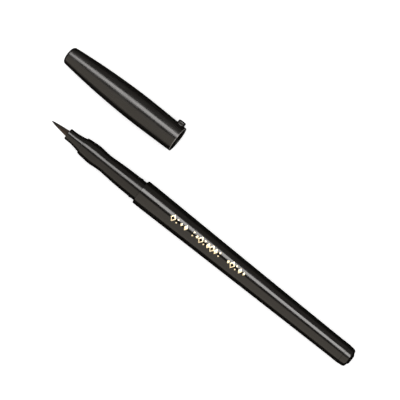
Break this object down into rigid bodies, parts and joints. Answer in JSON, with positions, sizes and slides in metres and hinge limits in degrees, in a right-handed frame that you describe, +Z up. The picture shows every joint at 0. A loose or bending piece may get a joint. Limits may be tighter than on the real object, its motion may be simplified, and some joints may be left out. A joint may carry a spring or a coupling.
{
  "type": "brush pen",
  "caption": "Slim cartridge brush pen with a pointed bristle tip, a waisted screw-in grip and its push-on cap lying beside it.",
  "frame": {"origin": "bottom centre of the box that holds the pen and the cap, on the surface they lie on", "axes": "+X along the pen towards its tail, +Y from the pen to the cap, +Z up"},
  "size_m": [0.1624, 0.0374, 0.0121],
  "materials": {
    "barrel_plastic": "semi-gloss black",
    "grip_plastic": "semi-gloss black",
    "nozzle_plastic": "satin black",
    "bristle": "fine synthetic bristles",
    "fused_bristle": "fused",
    "housing_plastic": "satin",
    "feed_plastic": "satin",
    "fibre": "bonded fibre",
    "cartridge_plastic": "milky translucent",
    "ball_steel": "polished",
    "ink": "liquid",
    "cap_plastic": "semi-gloss black",
    "liner_plastic": "satin"
  },
  "bodies": {
    "barrel": {"barrel": "barrel_plastic", "tail_plug": "barrel_plastic"},
    "section": {"front_section": "grip_plastic", "nozzle": "nozzle_plastic", "brush_sleeve": "nozzle_plastic", "bristle_tuft": "bristle", "tuft_heel": "fused_bristle", "feed_housing": "housing_plastic", "ink_feed": "feed_plastic", "relay_core": "fibre"},
    "cartridge": {"cartridge_body": "cartridge_plastic", "cartridge_ball": "ball_steel", "ink_charge": "ink"},
    "cap": {"cap_shell": "cap_plastic", "inner_cap": "liner_plastic"}
  },
  "joints": [
    {"name": "section_draw", "type": "slide", "parent": "barrel", "child": "section", "axis": [-0.9999, 0, 0.0108], "range_m": [0, 0.07]},
    {"name": "cartridge_pull", "type": "slide", "parent": "section", "child": "cartridge", "axis": [0.9999, 0, -0.0108], "range_m": [0, 0.008]},
    {"name": "cap_carry", "type": "hinge", "parent": "barrel", "child": "cap", "pos_m": [-0.14387, 0.19955, 1.44212], "axis": [-0.3375, 0.9294, -0.1494], "range_deg": [0, 2.89]}
  ]
}
